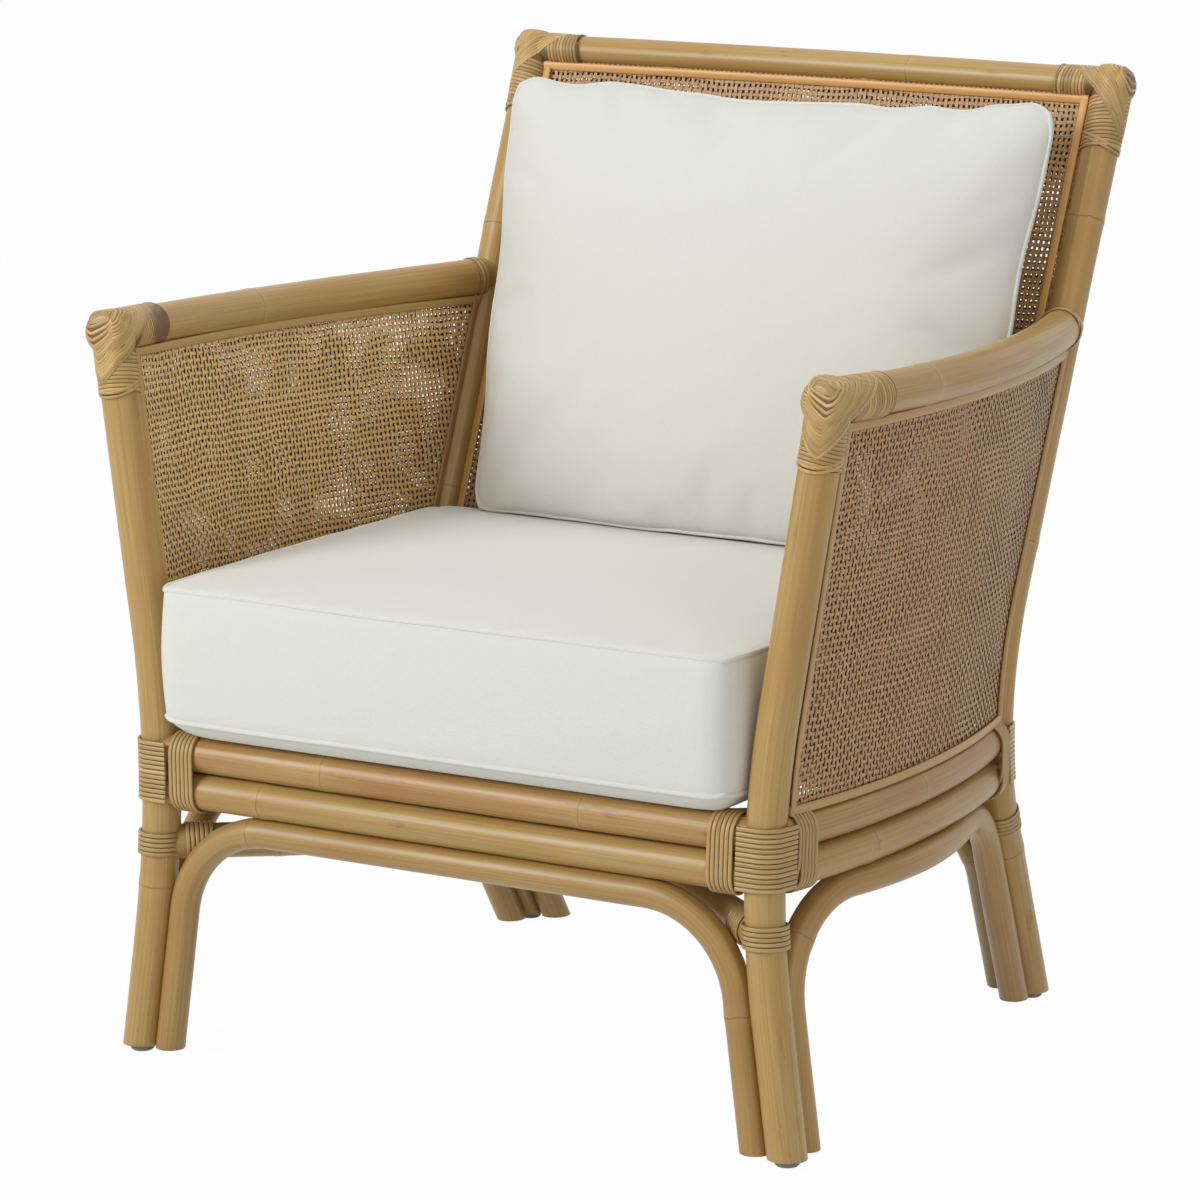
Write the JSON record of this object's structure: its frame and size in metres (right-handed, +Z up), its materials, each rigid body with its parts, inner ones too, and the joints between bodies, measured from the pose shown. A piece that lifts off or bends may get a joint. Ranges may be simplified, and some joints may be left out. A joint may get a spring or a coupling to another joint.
{
  "type": "rattan armchair",
  "caption": "Lounge armchair of bent rattan poles with cane panels, bound joints, arched legs with crossed stretchers, and loose seat and back cushions.",
  "frame": {"origin": "on the floor, below the middle of the bounding box", "axes": "+X to the right of a viewer who faces the chair's front, +Y from the front to the back, +Z up"},
  "size_m": [0.7608, 0.6918, 0.8494],
  "materials": {
    "pole": "satin",
    "binding": "satin",
    "cane": "satin",
    "trim": "satin",
    "cushion_cover": "matte",
    "foam": "matte",
    "fibre_filling": "matte",
    "glide": "matte"
  },
  "bodies": {
    "frame": {"arm_corner_bindings": "binding", "arm_end_bindings": "binding", "arm_left": "pole", "arm_right": "pole", "back_arch": "pole", "back_cane_front": "cane", "back_cane_rear": "cane", "back_leg_bindings": "binding", "back_post_bindings": "binding", "back_post_left": "pole", "back_post_right": "pole", "back_rail_bindings": "binding", "back_rail_lower": "pole", "back_rail_upper": "pole", "back_trim_front": "trim", "back_trim_rear": "trim", "front_arch": "pole", "front_leg_bindings": "binding", "front_post_bindings": "binding", "front_post_left": "pole", "front_post_right": "pole", "front_rail_bindings": "binding", "front_rail_lower": "pole", "front_rail_upper": "pole", "glide_back_left": "glide", "glide_back_right": "glide", "glide_front_left": "glide", "glide_front_right": "glide", "seat_slats": "pole", "side_arch_left": "pole", "side_arch_right": "pole", "side_cane_inner_left": "cane", "side_cane_inner_right": "cane", "side_cane_outer_left": "cane", "side_cane_outer_right": "cane", "side_rail_bindings_back": "binding", "side_rail_bindings_front": "binding", "side_rail_lower_left": "pole", "side_rail_lower_right": "pole", "side_rail_upper_left": "pole", "side_rail_upper_right": "pole", "side_trim_inner_left": "trim", "side_trim_inner_right": "trim", "side_trim_outer_left": "trim", "side_trim_outer_right": "trim", "stretcher_bindings_back": "binding", "stretcher_bindings_front": "binding", "stretcher_over": "pole", "stretcher_under": "pole", "top_corner_bindings": "binding", "top_rail": "pole"},
    "seat_cushion_body": {"seat_cushion": "cushion_cover", "seat_foam_core": "foam"},
    "back_cushion_body": {"back_cushion": "cushion_cover", "back_filling": "fibre_filling"}
  },
  "joints": [
    {"name": "seat_cushion_lift", "type": "slide", "parent": "frame", "child": "seat_cushion_body", "axis": [0, 0, 1], "range_m": [0, 0.5]},
    {"name": "back_cushion_lift", "type": "slide", "parent": "seat_cushion_body", "child": "back_cushion_body", "axis": [0, 0, 1], "range_m": [0, 0.5]}
  ]
}
